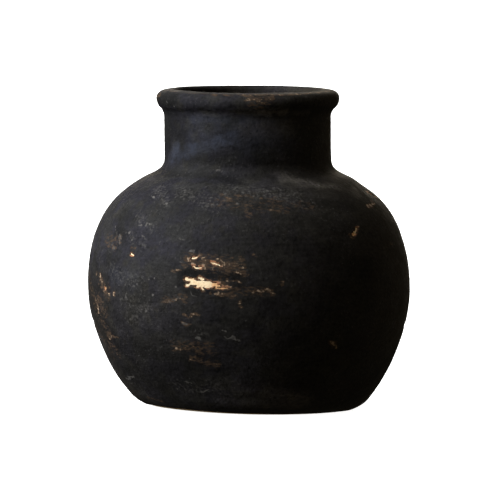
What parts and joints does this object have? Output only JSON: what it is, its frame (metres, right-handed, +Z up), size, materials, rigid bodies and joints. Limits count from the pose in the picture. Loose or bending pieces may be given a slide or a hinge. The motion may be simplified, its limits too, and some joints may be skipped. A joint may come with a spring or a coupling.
{
  "type": "clay pot",
  "caption": "Round-bellied clay pot with a flat foot, a short straight neck and a rolled lip, coated matte black over buff clay.",
  "frame": {"origin": "centre of the foot, on the surface the pot stands on", "axes": "+Z up the pot's axis, out of its mouth; the side facing -Y is the front"},
  "size_m": [0.1512, 0.1512, 0.1496],
  "materials": {
    "clay": "matte, unglazed",
    "black_coat": "matte, dry-brushed, chipped at the belly"
  },
  "bodies": {
    "root": {"base_slab": "clay", "floor_corner_coil": "clay", "lower_wall": "clay", "lower_belly": "clay", "upper_belly": "clay", "shoulder": "clay", "neck_root_coil": "clay", "neck_collar": "clay", "rolled_lip": "clay", "black_coat": "black_coat"}
  },
  "joints": []
}
